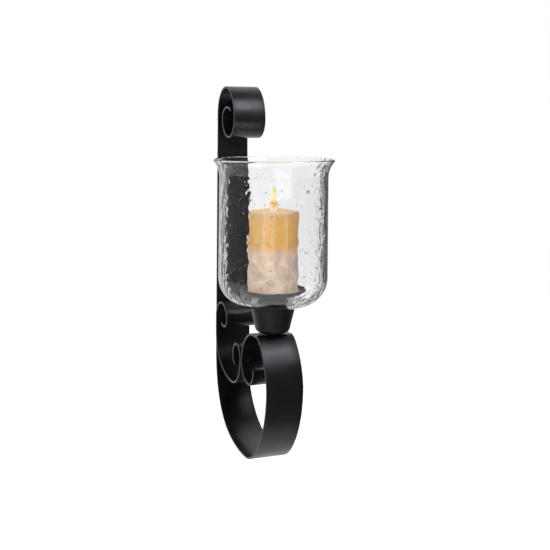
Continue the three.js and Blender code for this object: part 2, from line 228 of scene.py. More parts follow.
def lathe(rows, segments, wobble=None):
    """Points and faces of a profile turned about Z. A row on the axis becomes one point."""
    verts, rings = [], []
    for row, (radius, height) in enumerate(rows):
        if radius < 1e-6:
            rings.append([len(verts)] * segments)
            verts.append(Vector((0, 0, height)))
            continue
        rings.append(list(range(len(verts), len(verts) + segments)))
        for i in range(segments):
            angle = 2 * math.pi * i / segments
            point = Vector((radius * math.cos(angle), radius * math.sin(angle), height))
            verts.append(wobble(point, row) if wobble else point)
    closed = rows[0][0] > 1e-6
    pairs = list(zip(rings, rings[1:])) + ([(rings[-1], rings[0])] if closed else [])
    faces = []
    for low, high in pairs:
        for i in range(segments):
            j = (i + 1) % segments
            corners = [low[i], low[j], high[j], high[i]]
            faces.append(tuple(dict.fromkeys(corners)))
    return verts, [f for f in faces if len(f) > 2]


def turned(name, rows, segments=96, place=(0, 0, 0), turn=(0, 0, 0), smooth_angle=38):
    """Object from a profile of (radius, height) rows turned about Z, then turned and placed."""
    verts, faces = lathe(rows, segments)
    spin = Euler(turn).to_matrix()
    return new_object(name, [spin @ v + Vector(place) for v in verts], faces, smooth_angle)


def arc(centre, size, start, end, steps):
    """Points of an ellipse about a centre, from one angle to another in degrees."""
    return [
        (centre[0] + size[0] * math.cos(math.radians(start + (end - start) * i / steps)),
         centre[1] + size[1] * math.sin(math.radians(start + (end - start) * i / steps)))
        for i in range(steps + 1)
    ]


def line_rows(start, end, steps):
    """Points strictly between two rows."""
    return [
        (start[0] + (end[0] - start[0]) * i / steps, start[1] + (end[1] - start[1]) * i / steps)
        for i in range(1, steps)
    ]


def drill(radius, start, length, direction):
    """Closed round cutter from a start point along a direction."""
    turn = Vector(direction).to_track_quat("Z", "Y").to_euler()
    return turned("drill", [(0, 0), (radius, 0), (radius, length), (0, length)], 48, start, turn)


def direction_to(azimuth, elevation):
    """Unit vector away from the object: azimuth 0 is straight out from the wall, + to the right."""
    a, e = math.radians(azimuth), math.radians(elevation)
    return Vector((math.sin(a) * math.cos(e), -math.cos(a) * math.cos(e), math.sin(e)))


# ---- materials ---------------------------------------------------------------------------------
class Nodes:
    """Small helper that adds and links shader nodes."""

    def __init__(self, name):
        self.material = bpy.data.materials.new(name)
        self.material.use_nodes = True
        self.tree = self.material.node_tree
        self.shader = self.tree.nodes["Principled BSDF"]

    def add(self, kind, **inputs):
        node = self.tree.nodes.new(kind)
        for key, value in inputs.items():
            if key in node.inputs:
                node.inputs[key].default_value = value
            else:
                setattr(node, key, value)
        return node

    def link(self, out_socket, in_socket):
        self.tree.links.new(out_socket, in_socket)

    def coords(self):
        return self.add("ShaderNodeTexCoord").outputs["Object"]

    def noise(self, scale, detail=4, rough=0.55, stretch=None):
        texture = self.add("ShaderNodeTexNoise", Scale=scale, Detail=detail, Roughness=rough)
        vector = self.coords()
        if stretch:
            mapping = self.add("ShaderNodeMapping")
            mapping.inputs["Scale"].default_value = stretch
            self.link(vector, mapping.inputs["Vector"])
            vector = mapping.outputs["Vector"]
        self.link(vector, texture.inputs["Vector"])
        return texture.outputs["Fac"]

    def ramp(self, fac, stops):
        node = self.add("ShaderNodeValToRGB")
        elements = node.color_ramp.elements
        while len(elements) < len(stops):
            elements.new(0.5)
        for element, (where, colour) in zip(elements, stops):
            element.position = where
            element.color = colour if len(colour) == 4 else (*colour, 1)
        self.link(fac, node.inputs["Fac"])
        return node.outputs["Color"]

    def remap(self, value, low, high, to_low=0.0, to_high=1.0):
        node = self.add("ShaderNodeMapRange")
        node.interpolation_type = "SMOOTHSTEP"
        limits = {"From Min": low, "From Max": high, "To Min": to_low, "To Max": to_high}
        for key, number in limits.items():
            node.inputs[key].default_value = number
        self.link(value, node.inputs["Value"])
        return node.outputs["Result"]

    def math(self, operation, a, b=None):
        node = self.add("ShaderNodeMath")
        node.operation = operation
        for socket, value in zip(node.inputs, (a, b)):
            if value is None:
                continue
            if isinstance(value, (int, float)):
                socket.default_value = value
            else:
                self.link(value, socket)
        return node.outputs["Value"]

    def mix(self, fac, a, b):
        node = self.add("ShaderNodeMix")
        node.data_type = "RGBA"
        for socket, value in ((node.inputs[0], fac), (node.inputs[6], a), (node.inputs[7], b)):
            if isinstance(value, (int, float)):
                socket.default_value = value
            elif isinstance(value, tuple):
                socket.default_value = value if len(value) == 4 else (*value, 1)
            else:
                self.link(value, socket)
        return node.outputs[2]

    def bump(self, height, distance, strength=1.0, normal=None):
        node = self.add("ShaderNodeBump", Strength=strength, Distance=distance)
        self.link(height, node.inputs["Height"])
        if normal:
            self.link(normal, node.inputs["Normal"])
        self.link(node.outputs["Normal"], self.shader.inputs["Normal"])
        return node.outputs["Normal"]

    def set(self, **values):
        for key, value in values.items():
            socket = self.shader.inputs[key.replace("_", " ")]
            if isinstance(value, (int, float, tuple)):
                socket.default_value = value
            else:
                self.link(value, socket)

    def height(self):
        """Height in the frame, in metres."""
        split = self.add("ShaderNodeSeparateXYZ")
        self.link(self.coords(), split.inputs["Vector"])
        return split.outputs["Z"]

    def spot(self, centre, size, soft=0.6, warp=0.5):
        """1 inside an uneven ellipsoid about a centre, fading to 0 at its edge."""
        mapping = self.add("ShaderNodeMapping")
        mapping.inputs["Scale"].default_value = [1 / s for s in size]
        mapping.inputs["Location"].default_value = [-c / s for c, s in zip(centre, size)]
        self.link(self.coords(), mapping.inputs["Vector"])
        length = self.add("ShaderNodeVectorMath")
        length.operation = "LENGTH"
        self.link(mapping.outputs["Vector"], length.inputs[0])
        ragged = self.remap(self.noise(220, detail=3), 0.3, 0.7, -warp, warp)
        return self.remap(self.math("ADD", length.outputs["Value"], ragged), 1.0, 1.0 - soft)


# Painted shade: the paint reflects less low on the strap, inside the loop, where shade falls: the centre
# and half sizes of that place.
PAINTED_SHADE_PLACE = (0, -26 * MM, -385 * MM), (62 * MM, 72 * MM, 118 * MM)


def black_paint(name, base, rough=(0.26, 0.36), painted_loop_shade=False):
    """Satin black paint on iron: fine orange peel and slightly uneven gloss, and if asked, painted shade
    that turns the reflection down inside the loop.
    """
    n = Nodes(name)
    patches = n.noise(38, detail=3)
    n.set(
        Base_Color=n.ramp(patches, [(0.35, tuple(0.75 * c for c in base)), (0.7, base)]),
        Roughness=n.remap(patches, 0.3, 0.7, *rough),
    )
    if painted_loop_shade:
        # Painted shade: less reflection low inside the loop, where shade falls.
        painted_shade_mask = n.spot(*PAINTED_SHADE_PLACE, soft=0.9, warp=0.03)
        n.set(Specular_IOR_Level=n.remap(painted_shade_mask, 0.0, 1.0, 0.5, 0.12))
    peel = n.bump(n.noise(800, detail=2), 0.02 * MM, 0.4)
    n.bump(n.noise(70, detail=2), 0.2 * MM, 0.12, peel)
    return n.material


def metal(name, colour, rough):
    """Bare metal with turning marks."""
    n = Nodes(name)
    marks = n.noise(500, detail=3, stretch=(0.2, 0.2, 3.0))
    n.set(
        Base_Color=n.ramp(marks, [(0.3, tuple(0.8 * c for c in colour)), (0.7, colour)]),
        Metallic=1.0,
        Roughness=n.remap(marks, 0.3, 0.7, rough, rough + 0.12),
    )
    n.bump(marks, 0.02 * MM, 0.4)
    return n.material


def felt_material():
    """Pressed wool felt: matted fibres with a soft sheen."""
    n = Nodes("felt")
    fibres = n.noise(1500, detail=5, rough=0.7)
    n.set(
        Base_Color=n.ramp(fibres, [(0.35, (0.012, 0.012, 0.013)), (0.65, (0.05, 0.05, 0.052))]),
        Roughness=0.95,
        Sheen_Weight=0.4,
    )
    n.bump(fibres, 0.2 * MM, 0.6)
    return n.material


def glass_material():
    """Clear hand-blown glass with painted shade and reflection, near black where seen edge on: big waves
    are in the mesh, fine ripple is here.
    """
    n = Nodes("clear_glass")
    streaks = n.noise(60, detail=2, stretch=(1, 1, 0.35))
    clear = n.ramp(streaks, [(0.3, (0.935, 0.935, 0.945)), (0.7, (0.965, 0.965, 0.975))])
    # Painted shade and reflection: the base colour goes near black where the glass is seen edge on. This
    # stands in for the dark surroundings it reflects and bends, and partly for its longer path through
    # the wall.
    edge = n.add("ShaderNodeLayerWeight")
    edge.inputs["Blend"].default_value = 0.5
    n.link(n.bump(n.noise(105, detail=2, stretch=(1, 1, 0.45)), 4.4 * MM, 1.0), edge.inputs["Normal"])
    painted_dark_edge = n.remap(edge.outputs["Facing"], 0.52, 0.75, 0.0, 0.985)
    n.set(
        Base_Color=n.mix(painted_dark_edge, clear, (0.01, 0.01, 0.011)),
        Roughness=0.0,
        IOR=1.47,
        Transmission_Weight=1.0,
    )
    n.bump(n.noise(260, detail=2), 0.04 * MM, 0.5)
    return n.material


# The candle's radius at its foot and at its top, and the colours of its wax.
CANDLE_RADIUS = (36.2 * MM, 34.2 * MM)
WAX_AMBER = (0.93, 0.53, 0.14)
WAX_HONEY = (0.84, 0.46, 0.10)
WAX_PALE = (0.96, 0.77, 0.58)
WAX_MIDDLE = (0.83, 0.64, 0.47)
WAX_MAUVE = (0.68, 0.50, 0.38)
WAX_DRIP = (0.97, 0.74, 0.46)
WAX_TAN = (0.74, 0.53, 0.30)
# Where the lower half is stained: angle in degrees, height, half width and half height in
# millimetres, and the colour.
STAINS = [
    (-30, 36, 13, 15, WAX_PALE),
    (-52, 9, 9, 8, (0.80, 0.48, 0.30)),
    (8, 33, 9, 11, (0.66, 0.54, 0.40)),
    (20, 17, 6, 5, WAX_PALE),
    (30, 8, 9, 5, (0.62, 0.53, 0.30)),
    (22, 44, 12, 9, (0.74, 0.57, 0.50)),
    (95, 30, 13, 12, WAX_PALE),
    (150, 22, 11, 10, (0.74, 0.50, 0.34)),
    (-120, 28, 14, 12, WAX_PALE),
]


def wax_material():
    """Two-tone mottled wax: amber above, cloudy beige below, with painted light: a faint even glow all
    over and a brighter painted pool of the flame's light near the top.
    """
    n = Nodes("wax")
    clouds = n.noise(75, detail=5, rough=0.6)
    specks = n.noise(420, detail=3)
    upper = n.ramp(clouds, [(0.35, WAX_HONEY), (0.6, WAX_AMBER)])
    lower = n.ramp(clouds, [(0.35, WAX_MAUVE), (0.5, WAX_MIDDLE), (0.62, WAX_PALE)])
    for angle, up, wide, tall, colour in STAINS:
        out = direction_to(angle, 0) * CANDLE_RADIUS[0]
        centre = AXIS + out + Vector((0, 0, CANDLE_BASE + up * MM))
        stain = n.spot(centre, (wide * MM, wide * MM, tall * MM), soft=0.7, warp=0.35)
        lower = n.mix(n.math("MULTIPLY", stain, 0.8), lower, colour)
    middle = (CANDLE_BASE + CANDLE_TOP) / 2
    edge = n.math("ADD", n.height(), n.remap(clouds, 0.3, 0.7, -3 * MM, 3 * MM))
    colour = n.mix(n.remap(edge, middle - 3 * MM, middle + 13 * MM), lower, upper)
    drips = n.add("ShaderNodeAttribute", attribute_name="drip").outputs["Fac"]
    colour = n.mix(n.math("MULTIPLY", drips, 0.45), colour, WAX_DRIP)
    colour = n.mix(n.remap(specks, 0.62, 0.72, 0.0, 0.5), colour, WAX_DRIP)
    rim = n.remap(n.height(), CANDLE_TOP - 18 * MM, CANDLE_TOP, 0.0, 0.6)
    colour = n.mix(rim, colour, WAX_TAN)
    # Painted light: the wax's emission gives a faint glow all over, and a brighter pool about the wick
    # for the flame's light on the wax.
    painted_flame_glow = n.spot((AXIS.x, AXIS.y, CANDLE_TOP), (34 * MM, 40 * MM, 50 * MM), soft=0.95, warp=0.1)
    n.set(
        Base_Color=colour,
        Roughness=n.remap(specks, 0.3, 0.7, 0.38, 0.6),
        Subsurface_Weight=0.35,
        Subsurface_Radius=(1.0, 0.5, 0.25),
        Subsurface_Scale=4 * MM,
        Emission_Color=colour,
        Emission_Strength=n.math("ADD", n.math("MULTIPLY", painted_flame_glow, 0.16), 0.13),
    )
    lumps = n.bump(clouds, 0.6 * MM, 0.35)
    n.bump(specks, 0.1 * MM, 0.4, lumps)
    return n.material


def wick_material():
    """Charred cotton with an ember at the tip."""
    n = Nodes("wick")
    char = n.noise(900, detail=4)
    ember = n.remap(n.height(), WICK_TOP - 3 * MM, WICK_TOP, 0.0, 0.7)
    n.set(
        Base_Color=n.ramp(char, [(0.35, (0.01, 0.008, 0.006)), (0.7, (0.07, 0.045, 0.03))]),
        Roughness=0.9,
        Emission_Color=(1.0, 0.28, 0.05, 1),
        Emission_Strength=ember,
    )
    n.bump(char, 0.3 * MM, 0.6)
    return n.material


FLAME_BASE = WAX_POOL + 0.3 * MM
FLAME_TIP = CANDLE_TOP + 36 * MM


def flame_material():
    """Pale at the foot, orange round the wick, near white in the middle, green-yellow at the tip."""
    n = Nodes("flame")
    rise = n.remap(n.height(), FLAME_BASE, FLAME_TIP)
    wander = n.math("ADD", rise, n.remap(n.noise(300, detail=2), 0.3, 0.7, -0.05, 0.05))
    n.set(
        Base_Color=(0, 0, 0, 1),
        Specular_IOR_Level=0.0,
        Roughness=1.0,
        Emission_Color=n.ramp(wander, [
            (0.0, (1.0, 0.86, 0.66)), (0.12, (1.0, 0.70, 0.36)), (0.22, (0.93, 0.42, 0.05)),
            (0.36, (1.0, 0.75, 0.18)), (0.52, (1.0, 0.98, 0.72)), (0.78, (0.96, 0.98, 0.40)),
            (1.0, (0.72, 0.80, 0.32)),
        ]),
        Emission_Strength=1.0,
        Alpha=n.ramp(rise, [(0.0, (0.9,) * 3), (0.5, (0.95,) * 3), (1.0, (0.8,) * 3)]),
    )
    return n.material


# ---- pieces ------------------------------------------------------------------------------------
def show(obj, body, slot, material, *nodes):
    """Give a piece its material and its body, and hide the CAD nodes that it stands for. The slot is not
    used.
    """
    obj.data.materials.append(material)
    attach(obj, body)
    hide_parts(*nodes)


BLACK = black_paint("black_iron", (0.0075, 0.0075, 0.008), painted_loop_shade=True)
RIVET_BLACK = black_paint("black_rivets", (0.008, 0.008, 0.0085), (0.3, 0.42), painted_loop_shade=True)
CUP_BLACK = black_paint("black_cup", (0.011, 0.011, 0.009), (0.34, 0.44))
PAN_BLACK = black_paint("black_pan", (0.020, 0.014, 0.012), (0.4, 0.5))
BRASS = metal("brass", (0.52, 0.47, 0.24), 0.3)
STEEL = metal("steel", (0.42, 0.42, 0.43), 0.3)

# Radii of the holes, the keyhole's entry below its slot, and a length that runs through a bar.
RIVET_HOLE = 2.7 * MM
SCREW_HOLE = 2.8 * MM
KEYHOLE_DROP = 8 * MM
KEYHOLE_ENTRY = 4.6 * MM
KEYHOLE_SLOT = 2.4 * MM
SCROLL_JOINT_DEPTH = 113.75 * MM
REACH = 3 * BAR_THICKNESS


def prism(outline, start, length, name="prism"):
    """Closed solid from an (x, z) outline, running from depth start towards -Y."""
    count = len(outline)
    verts = [(x, -start - far, z) for far in (0, length) for x, z in outline]
    faces = [tuple(range(count)), tuple(range(count, 2 * count))]
    faces += [(i, (i + 1) % count, count + (i + 1) % count, count + i) for i in range(count)]
    return new_object(name, verts, faces)


def keyhole():
    """Cutter for the round entry with the narrow slot above it."""
    opening = math.degrees(math.asin(KEYHOLE_SLOT / KEYHOLE_ENTRY))
    outline = arc((0, -KEYHOLE_DROP), (KEYHOLE_ENTRY, KEYHOLE_ENTRY), 90 + opening, 450 - opening, 40)
    outline += arc((0, 0), (KEYHOLE_SLOT, KEYHOLE_SLOT), 0, 180, 20)
    return prism(outline, -REACH, 2 * REACH)


def rivet_drills(depth, height):
    return [
        drill(RIVET_HOLE, (x, -depth + REACH, height), 2 * REACH, (0, -1, 0))
        for x in (-RIVET_SPREAD, RIVET_SPREAD)
    ]


def bars():
    band = bent_bar("main_band_bar", BAND_ROUTE, BAND_WIDTH, LOOP_WIDTH)
    seat = drill(SCREW_HOLE, (0, -AXIS_DEPTH, SEAT_HEIGHT - REACH), 2 * REACH, (0, 0, 1))
    joint = SCROLL_JOINT_DEPTH + HALF_BAR
    cut(band, [keyhole(), seat, *rivet_drills(0, STRAP_RIVET_HEIGHT),
               *rivet_drills(joint, SCROLL_RIVET_HEIGHT)])
    show(band, "bracket", "black_iron", BLACK, "main_band")
    brace = bent_bar("brace_scroll_bar", BRACE_ROUTE, BRACE_WIDTH, BRACE_WIDTH)
    cut(brace, [*rivet_drills(BAR_THICKNESS, STRAP_RIVET_HEIGHT),
                *rivet_drills(joint, SCROLL_RIVET_HEIGHT)])
    show(brace, "bracket", "black_iron", BLACK, "brace_scroll")


# The shank's radius, the domed head's radius and height, and the tail that is set into the strap.
RIVET_RADIUS = 2.4 * MM
RIVET_HEAD = (4.8 * MM, 1.7 * MM)
RIVET_TAIL = 3.9 * MM
RIVET_INSET, RIVET_TAIL_DEPTH = 0.2 * MM, 1.9 * MM


def rivets():
    """Two through strap and brace, flush at the wall, and two domed at both ends in the scrolls."""
    inner_face = 2 * BAR_THICKNESS + 2 * GAP
    tail = [(0, RIVET_INSET), (RIVET_TAIL, RIVET_INSET), (RIVET_RADIUS, RIVET_TAIL_DEPTH)]
    dome = [(RIVET_HEAD[0], 0)] + arc((0, 0), RIVET_HEAD, 12, 90, 10)
    strap = tail + [(RIVET_RADIUS, inner_face)] + [(r, h + inner_face) for r, h in dome]
    grip = BAR_THICKNESS + 3 * GAP
    half = [(RIVET_RADIUS, grip)] + [(r, h + grip) for r, h in dome]
    scroll = [(r, -h) for r, h in reversed(half)] + half
    level = (math.pi / 2, 0, 0)
    for side, x in (("left", -RIVET_SPREAD), ("right", RIVET_SPREAD)):
        for joint, rows, depth, height in (
            ("strap", strap, 0, STRAP_RIVET_HEIGHT),
            ("scroll", scroll, SCROLL_JOINT_DEPTH, SCROLL_RIVET_HEIGHT),
        ):
            piece = turned(f"{joint}_rivet_{side}_head", rows, 48, (x, -depth, height), level)
            show(piece, "bracket", "black_rivets", RIVET_BLACK, f"{joint}_rivet_{side}")


def washer_rows(inner, outer, thickness, ease):
    """Flat ring with eased edges."""
    return [
        (inner, ease), (inner + ease, 0), (outer - ease, 0), (outer, ease),
        (outer, thickness - ease), (outer - ease, thickness), (inner + ease, thickness),
        (inner, thickness - ease),
    ]


def on_axis(height):
    return (0, -AXIS_DEPTH, height)


CUP_WALL = 1.8 * MM
CUP_FOOT = (14.5 * MM, 9.5 * MM)
CUP_WAIST = 25 * MM
CUP_TOP_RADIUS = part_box("cup")[1].x


def cup():
    height = CUP_TOP - CUP_BASE
    lip = CUP_WALL / 2
    corner = (CUP_WAIST - CUP_FOOT[0], CUP_FOOT[1])
    inner = (corner[0] - CUP_WALL, corner[1] - lip)
    rows = [(SCREW_HOLE, 0)]
    rows += arc(CUP_FOOT, corner, -90, 0, 18)
    rows += line_rows((CUP_WAIST, CUP_FOOT[1]), (CUP_TOP_RADIUS, height - lip), 14)
    rows += arc((CUP_TOP_RADIUS - lip, height - lip), (lip, lip), 0, 180, 10)
    rows += arc((CUP_FOOT[0], CUP_FOOT[1] + lip), inner, 0, -90, 14)
    rows += [(SCREW_HOLE, CUP_WALL)]
    piece = turned("cup_shell", rows, 160, on_axis(CUP_BASE), smooth_angle=50)
    show(piece, "bracket", "black_cup", CUP_BLACK, "cup")


# The cup's screw: shank radius, how far down the head's edge is, slot and thread.
SHANK = 2.45 * MM
HEAD_DEPTH, HEAD_EDGE, HEAD_DOME = 2.6 * MM, 0.8 * MM, 1.8 * MM
SLOT_DEPTH, SLOT_WIDTH = 1.2 * MM, 1.2 * MM
PITCH, THREAD_DEPTH = 0.8 * MM, 0.35 * MM
NUT_BEVEL = 0.7 * MM


def ring(node, name, ease, segments, slot, material):
    """Flat ring round the cup's screw, as big as its CAD node."""
    low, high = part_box(node)
    rows = washer_rows(SCREW_HOLE, high.x, high.z - low.z, ease)
    show(turned(name, rows, segments, on_axis(low.z)), "bracket", slot, material, node)


def cup_screw():
    """Threaded shank under a domed, slotted head."""
    low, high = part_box("cup_screw")
    length, head = high.z - low.z, high.x
    under = length - HEAD_DEPTH
    rows = [(0, 0), (SHANK - PITCH / 2, 0)]
    for i in range(int((under - MM) / PITCH)):
        rows += [(SHANK, (i + 0.5) * PITCH), (SHANK - THREAD_DEPTH, (i + 1) * PITCH)]
    rows += [(SHANK, under), (head, under)]
    rows += arc((0, under + HEAD_EDGE), (head, HEAD_DOME), 0, 90, 12)
    piece = turned("cup_screw_slotted", rows, 64, on_axis(low.z))
    floor_of_slot, past = length - SLOT_DEPTH, 2 * length
    outline = [(-2 * head, floor_of_slot), (2 * head, floor_of_slot), (2 * head, past), (-2 * head, past)]
    slot = prism(outline, -SLOT_WIDTH / 2, SLOT_WIDTH)
    slot.data.transform(Matrix.Translation(on_axis(low.z)))
    cut(piece, [slot])
    show(piece, "bracket", "steel", STEEL, "cup_screw")


def cup_nut():
    """Hexagonal nut with its corners bevelled at both faces, as wide over its flats as the CAD's."""
    low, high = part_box("cup_screw_nut")
    tall, radius, place = high.z - low.z, high.x * 2 / math.sqrt(3), on_axis(low.z)
    piece = turned("cup_screw_hex_nut", [(0, 0), (radius, 0), (radius, tall), (0, tall)], 6, place,
                   smooth_angle=20)
    past = radius + 2 * MM
    bevel = [(radius - NUT_BEVEL, MM), (past, MM), (past, -1.2 * MM)]
    top = turned("bevel", [(r, tall + h) for r, h in bevel], 96, place)
    bottom = turned("bevel", [(r, -h) for r, h in bevel], 96, place)
    cut(piece, [drill(SCREW_HOLE, on_axis(low.z - MM), tall + 2 * MM, (0, 0, 1)), top, bottom], 25)
    show(piece, "bracket", "steel", STEEL, "cup_screw_nut")


def cup_fixings():
    """Brass spacer, slotted screw, washer and nut that hold the cup to the scroll."""
    ring("cup_spacer", "cup_spacer_ring", 0.3 * MM, 72, "brass", BRASS)
    ring("cup_screw_washer", "cup_screw_washer_ring", 0.2 * MM, 48, "steel", STEEL)
    cup_screw()
    cup_nut()


GASKET_WIDTH = 3.6 * MM


def gasket():
    low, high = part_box("cup_gasket")
    rows = washer_rows(high.x - GASKET_WIDTH, high.x, high.z - low.z, 0.25 * MM)
    piece = turned("cup_gasket_felt", rows, 120, on_axis(low.z))
    show(piece, "bracket", "felt", felt_material(), "cup_gasket")


# The shade's profile, from its seat on the gasket.
SHADE_WALL = 3 * MM
RIM_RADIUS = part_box("glass_shade")[1].x
LIP = 2 * MM
SHOULDER = (74.4 * MM, 178 * MM)
BELLY = (75.8 * MM, 40 * MM)
FLAT_RADIUS = 38 * MM
NECK_RADIUS = (21.5 * MM, 24.5 * MM)
GLASS_SEGMENTS, WALL_STEPS = 360, 84
SEED_COUNT = 150


def flare(offset, steps=16):
    """Parabola from the shoulder out to the lip."""
    radius, height = SHOULDER
    wider = RIM_RADIUS - LIP / 7 - radius
    taller = SHADE_RIM - SHADE_SEAT - 1.5 * LIP - height
    return [
        (radius - offset + wider * (i / steps) ** 2, height + taller * i / steps) for i in range(steps)
    ]


def shade_rows():
    """Outer rows, then the lip, then inner rows, and how many of them are outer."""
    corner = (BELLY[0] - FLAT_RADIUS, BELLY[1])
    centre = (FLAT_RADIUS, BELLY[1])
    ease = 0.8 * MM
    outer = arc((NECK_RADIUS[1] - ease, -NECK_LENGTH + ease), (ease, ease), -90, 0, 4)
    outer += line_rows((NECK_RADIUS[1], -NECK_LENGTH + ease), (NECK_RADIUS[1], 0), 5)
    outer += [(NECK_RADIUS[1] + ease, 0)]
    outer += line_rows((NECK_RADIUS[1], 0), (FLAT_RADIUS, 0), 7)
    outer += arc(centre, corner, -90, 0, 34)
    outer += line_rows(BELLY, SHOULDER, WALL_STEPS) + flare(0)
    top = SHADE_RIM - SHADE_SEAT - LIP
    lip = arc((RIM_RADIUS - LIP, top), (LIP, LIP), -30, 150, 12)
    inner = list(reversed(flare(SHADE_WALL)))
    shoulder, belly = (SHOULDER[0] - SHADE_WALL, SHOULDER[1]), (BELLY[0] - SHADE_WALL, BELLY[1])
    inner += line_rows(shoulder, belly, WALL_STEPS)
    inner += arc(centre, (corner[0] - SHADE_WALL, corner[1] - SHADE_WALL), 0, -90, 34)
    inner += line_rows((FLAT_RADIUS, SHADE_WALL), (NECK_RADIUS[0], SHADE_WALL), 8)
    inner += [(NECK_RADIUS[0], SHADE_WALL - ease)]
    inner += line_rows((NECK_RADIUS[0], SHADE_WALL - ease), (NECK_RADIUS[0], -NECK_LENGTH), 6)
    inner += [(NECK_RADIUS[0], -NECK_LENGTH + ease), (NECK_RADIUS[0] + ease, -NECK_LENGTH)]
    return outer + lip + inner, len(outer) + len(lip) // 2


def blown_waves(rows, outer_count):
    """Wobble for the lathe: smooth noise along the profile's normal, strongest under the shoulder.

    It fades out at the seat and at the lip, and the two faces of the wall have noise of their own.
    """
    normals = []
    for i in range(len(rows)):
        before, after = rows[i - 1], rows[(i + 1) % len(rows)]
        along = Vector((after[0] - before[0], after[1] - before[1])).normalized()
        normals.append(Vector((along.y, -along.x)))

    def wobble(point, row):
        seed = Vector((11.3, 4.7, 2.9)) if row < outer_count else Vector((-7.1, 15.2, 8.4))
        to_lip = SHADE_RIM - SHADE_SEAT - 2 * LIP - point.z
        fade = min(1.0, max(0.0, min(point.z / (12 * MM), to_lip / (8 * MM))))
        broad = noise.noise(point / (15 * MM) + seed)
        fine = noise.noise(point / (6.5 * MM) - seed)
        tool = noise.noise(point / (3.4 * MM) + 2 * seed)
        marked = 0.045 + 0.15 * math.exp(-((point.z - SHOULDER[1] + 2 * MM) / (4 * MM)) ** 2)
        move = fade * MM * (0.09 * broad + 0.11 * fine + marked * tool)
        out = Vector((point.x, point.y, 0)).normalized()
        return point + out * (normals[row].x * move) + Vector((0, 0, normals[row].y * move))

    return wobble


def glass_seeds(bm, place):
    """Small air bubbles inside the wall, drawn out upwards, with their faces towards the air."""
    rng = random.Random(21)
    middle = SHADE_WALL / 2
    for _ in range(SEED_COUNT):
        angle = rng.uniform(0, 2 * math.pi)
        h = rng.uniform(14 * MM, 186 * MM)
        if h < BELLY[1]:
            across = math.sqrt(1 - ((BELLY[1] - h) / (BELLY[1] - middle)) ** 2)
            r = FLAT_RADIUS + (BELLY[0] - FLAT_RADIUS - middle) * across
        elif h < SHOULDER[1]:
            share = (h - BELLY[1]) / (SHOULDER[1] - BELLY[1])
            r = BELLY[0] + (SHOULDER[0] - BELLY[0]) * share - middle
        else:
            continue
        size = rng.uniform(0.3, 1.0) * MM
        tall = rng.uniform(1.0, 1.8)
        centre = place + Vector((r * math.cos(angle), r * math.sin(angle), h))
        shape = Matrix.Translation(centre) @ Matrix.Diagonal((size, size, size * tall, 1))
        made = bmesh.ops.create_icosphere(bm, subdivisions=2, radius=1, matrix=shape)
        faces = {f for v in made["verts"] for f in v.link_faces}
        bmesh.ops.reverse_faces(bm, faces=list(faces))
        for face in faces:
            face.smooth = True


def glass_shade():
    rows, outer_count = shade_rows()
    verts, faces = lathe(rows, GLASS_SEGMENTS, blown_waves(rows, outer_count))
    place = Vector(on_axis(SHADE_SEAT))
    piece = new_object("glass_shade_blown", [v + place for v in verts], faces, 60)
    bm = bmesh.new()
    bm.from_mesh(piece.data)
    glass_seeds(bm, place)
    bm.to_mesh(piece.data)
    bm.free()
    show(piece, "shade", "clear_glass", glass_material(), "glass_shade")
    piece.visible_shadow = False
    piece.visible_diffuse = False


PAN_FLOOR_RADIUS = 39 * MM
PAN_WALL = 1.6 * MM
PAN_HEIGHT = 7.5 * MM
PAN_ROLL = 1.5 * MM
PAN_HUB = 20 * MM
# The pan's screw: its clearance hole, its countersink, and its shank, core and thread.
PAN_BORE, PAN_SINK = 2.5 * MM, 4.5 * MM
PAN_SHANK, PAN_CORE, PAN_THREADS = 2.2 * MM, 1.9 * MM, 12
PAN_HEAD, DRIVE_DEPTH = 1.4 * MM, 0.8 * MM
# The post: its peg in the glass's neck, its hollow foot, and its wide top under the pan.
PEG, PEG_TAPER, FOOT_BORE = 10.5 * MM, 5 * MM, 7.2 * MM
POST_TOP, POST_RIM = 19.6 * MM, 3 * MM


def pan_dish():
    """Spun dish with a rolled edge."""
    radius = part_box("candle_pan")[1].x
    roll = (radius - PAN_ROLL, PAN_HEIGHT - PAN_ROLL)
    start, end = Vector((PAN_FLOOR_RADIUS, 0)), Vector((radius - 0.9 * MM, PAN_HEIGHT - 2.7 * MM))
    handles = start + Vector((4 * MM, 0)), end - Vector((1.2 * MM, 2.4 * MM))
    under = [bezier(start, *handles, end, i / 10) for i in range(11)]
    rows = [(PAN_BORE, 0), (PAN_HUB, 0)] + [(p.x, p.y) for p in under]
    rows += arc(roll, (PAN_ROLL, PAN_ROLL), -50, 220, 14)
    rows += [(p.x - 1.9 * MM, p.y + 1.2 * MM) for p in reversed(under[2:9])]
    rows += [(PAN_FLOOR_RADIUS - MM, PAN_WALL), (PAN_HUB, PAN_WALL), (PAN_SINK, PAN_WALL)]
    piece = turned("candle_pan_dish", rows, 160, on_axis(PAN_BASE), smooth_angle=50)
    show(piece, "pan", "black_pan", PAN_BLACK, "candle_pan")


def pan_post():
    """Turned post with its peg in the glass's neck."""
    low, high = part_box("pan_stem")
    length = high.z - low.z
    neck_end = length - (high.z - CUP_TOP) - NECK_LENGTH
    rows = [(FOOT_BORE, 0), (PEG - 0.3 * MM, 0), (PEG, 0.3 * MM), (PEG, neck_end - PEG_TAPER)]
    rows += arc((PEG, neck_end), (POST_TOP - PEG, PEG_TAPER), -80, -5, 10)
    rows += [(POST_TOP, neck_end + MM), (POST_TOP, length - POST_RIM)]
    rows += arc((POST_TOP, length - MM), (0.7 * MM, MM), -60, 90, 6)
    rows += [(PAN_BORE, length), (PAN_BORE, 11 * MM), (FOOT_BORE, 8 * MM)]
    piece = turned("pan_stem_post", rows, 120, on_axis(low.z), smooth_angle=45)
    show(piece, "pan", "black_pan", PAN_BLACK, "pan_stem")


